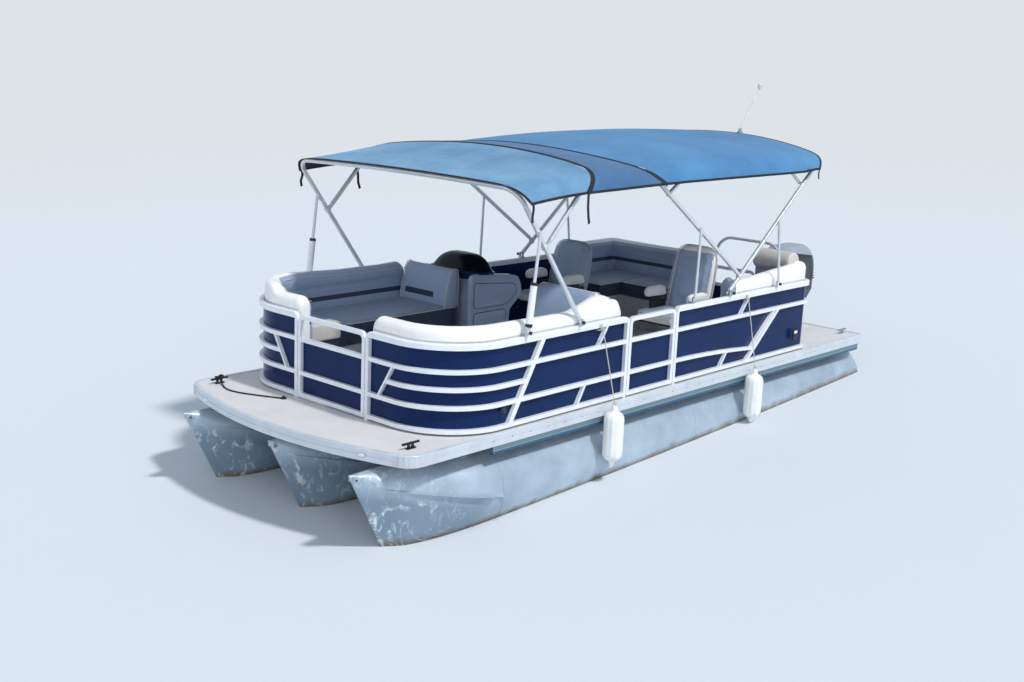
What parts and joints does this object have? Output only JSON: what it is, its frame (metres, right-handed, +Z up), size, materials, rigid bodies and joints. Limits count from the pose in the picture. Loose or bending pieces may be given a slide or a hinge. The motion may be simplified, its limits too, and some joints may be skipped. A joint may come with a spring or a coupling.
{
  "type": "pontoon boat",
  "caption": "Three-tube pontoon boat with railed deck, couches, helm, folding canvas tops, fenders and a tilting outboard.",
  "frame": {"origin": "on the level waterline, on the centreline amidships", "axes": "+X forward, +Y to port, +Z up"},
  "size_m": [7.6044, 2.7792, 3.6483],
  "materials": {
    "tube_aluminium": "satin, brushed",
    "frame_aluminium": "mill finish",
    "deck_weave": "woven vinyl",
    "white_trim": "gloss",
    "teal_skirt": "gloss",
    "white_rail": "gloss",
    "navy_sheet": "gloss",
    "white_vinyl": "soft vinyl",
    "seat_base": "moulded",
    "gelcoat": "gloss",
    "dash_plastic": "grained",
    "wheel_rim": "grained",
    "chrome_gear": "polished",
    "top_tube": "anodised",
    "top_canvas": "woven canvas",
    "lamp_white": "gloss",
    "fender_vinyl": "soft gloss",
    "white_rope": "braided",
    "dark_rope": "braided",
    "motor_paint": "gloss",
    "motor_bracket": "satin",
    "propeller_steel": "polished",
    "tow_bar_grey": "powder coat"
  },
  "bodies": {
    "hull": {"tube_port": "tube_aluminium", "tube_center": "tube_aluminium", "tube_starboard": "tube_aluminium", "deck_frame": "frame_aluminium", "deck_panel": "deck_weave", "deck_edge_trim": "white_trim", "side_skirts": "teal_skirt", "motor_pod": "frame_aluminium", "tow_bar": "tow_bar_grey", "deck_cleats": "chrome_gear", "fence_bow_port": "white_rail", "fence_bow_starboard": "white_rail", "fence_quarter_port": "white_rail", "fence_starboard": "white_rail", "fence_sheets": "navy_sheet", "couch_bases": "seat_base", "upholstery_bow_port": "white_vinyl", "upholstery_bow_starboard": "white_vinyl", "upholstery_stern_port": "white_vinyl", "upholstery_stern_starboard": "white_vinyl", "helm_console": "gelcoat", "dash_pod": "dash_plastic", "chair_pedestals": "chrome_gear", "fore_main_bow": "top_tube", "aft_main_bow": "top_tube", "top_braces": "top_tube", "top_mounts": "chrome_gear", "canopy_fore": "top_canvas", "canopy_aft": "top_canvas", "light_mast_base": "chrome_gear", "fender_forward": "fender_vinyl", "fender_aft": "fender_vinyl", "fender_rope_forward": "white_rope", "fender_rope_aft": "white_rope", "mooring_line": "dark_rope", "outboard_clamp": "motor_bracket"},
    "gate_bow": {"gate_bow": "white_rail"},
    "gate_side": {"gate_side": "white_rail"},
    "gate_stern": {"gate_stern": "white_rail"},
    "steering_wheel": {"steering_wheel": "wheel_rim"},
    "helm_chair": {"helm_chair": "white_vinyl"},
    "passenger_chair": {"passenger_chair": "white_vinyl"},
    "light_mast": {"light_mast": "lamp_white"},
    "fore_second_bow": {"fore_second_bow": "top_tube"},
    "aft_second_bow": {"aft_second_bow": "top_tube", "canopy_connector": "top_canvas"},
    "aft_stub_fore": {"aft_stub_fore": "top_tube"},
    "aft_stub_aft": {"aft_stub_aft": "top_tube"},
    "fore_struts": {"fore_struts": "top_tube"},
    "outboard_swivel": {"outboard_swivel": "motor_bracket"},
    "outboard_motor": {"outboard_motor": "motor_paint"},
    "outboard_propeller": {"outboard_propeller": "propeller_steel"}
  },
  "joints": [
    {"name": "gate_bow_swing", "type": "hinge", "parent": "hull", "child": "gate_bow", "pos_m": [2.652, 0.391, 0.9], "axis": [0, 0, -1], "range_deg": [0, 95]},
    {"name": "gate_side_swing", "type": "hinge", "parent": "hull", "child": "gate_side", "pos_m": [0.004, 1.207, 0.9], "axis": [0, 0, -1], "range_deg": [0, 95]},
    {"name": "gate_stern_swing", "type": "hinge", "parent": "hull", "child": "gate_stern", "pos_m": [-2.232, 0.004, 0.9], "axis": [0, 0, -1], "range_deg": [0, 95]},
    {"name": "helm_chair_swivel", "type": "hinge", "parent": "hull", "child": "helm_chair", "pos_m": [-0.69, -0.72, 0.9], "axis": [0, 0, 1], "continuous": true},
    {"name": "passenger_chair_swivel", "type": "hinge", "parent": "hull", "child": "passenger_chair", "pos_m": [-0.9, 0.58, 0.9], "axis": [0, 0, 1], "continuous": true},
    {"name": "light_mast_fold", "type": "hinge", "parent": "hull", "child": "light_mast", "pos_m": [-2.39649, 0.2, 2.6023], "axis": [0, -1, 0], "range_deg": [0, 52]},
    {"name": "fore_top_fold", "type": "hinge", "parent": "hull", "child": "fore_second_bow", "pos_m": [1.68709, 0, 1.90612], "axis": [0, 1, 0], "range_deg": [0, 74], "deforming": ["canopy_fore"]},
    {"name": "aft_top_fold", "type": "hinge", "parent": "hull", "child": "aft_second_bow", "pos_m": [-0.92172, 0, 1.42992], "axis": [0, -1, 0], "range_deg": [0, 95], "deforming": ["canopy_connector", "canopy_aft"]},
    {"name": "aft_stub_fore_fold", "type": "hinge", "parent": "aft_second_bow", "child": "aft_stub_fore", "pos_m": [0.18, 0, 2.18], "axis": [0, 1, 0], "range_deg": [0, 105]},
    {"name": "aft_stub_aft_fold", "type": "hinge", "parent": "hull", "child": "aft_stub_aft", "pos_m": [-1.918, 0, 2.183], "axis": [0, -1, 0], "range_deg": [0, 99]},
    {"name": "fore_strut_fold", "type": "hinge", "parent": "aft_second_bow", "child": "fore_struts", "pos_m": [-0.24968, 0, 1.884], "axis": [0, 1, 0], "range_deg": [0, 54]},
    {"name": "outboard_tilt", "type": "hinge", "parent": "hull", "child": "outboard_swivel", "pos_m": [-3.53, 0, 0.5], "axis": [0, 1, 0], "range_deg": [0, 62]},
    {"name": "outboard_steering", "type": "hinge", "parent": "outboard_swivel", "child": "outboard_motor", "pos_m": [-3.625, 0, 0.335], "axis": [0, 0, 1], "range_deg": [-32, 32]},
    {"name": "propeller_spin", "type": "hinge", "parent": "outboard_motor", "child": "outboard_propeller", "pos_m": [-4.015, 0, -0.385], "axis": [1, 0, 0], "continuous": true},
    {"name": "steering_wheel_turn", "type": "hinge", "parent": "hull", "child": "steering_wheel", "pos_m": [0.36756, -0.77, 1.27562], "axis": [-0.5735, 0, 0.8192], "range_deg": [-540, 540]}
  ],
  "couplings": [
    {"joint": "aft_stub_fore_fold", "follows": "aft_top_fold", "ratio": 1.1},
    {"joint": "aft_stub_aft_fold", "follows": "aft_top_fold", "ratio": 1.04},
    {"joint": "fore_strut_fold", "follows": "aft_top_fold", "ratio": 0.565},
    {"joint": "steering_wheel_turn", "follows": "outboard_steering", "ratio": -16.8}
  ]
}
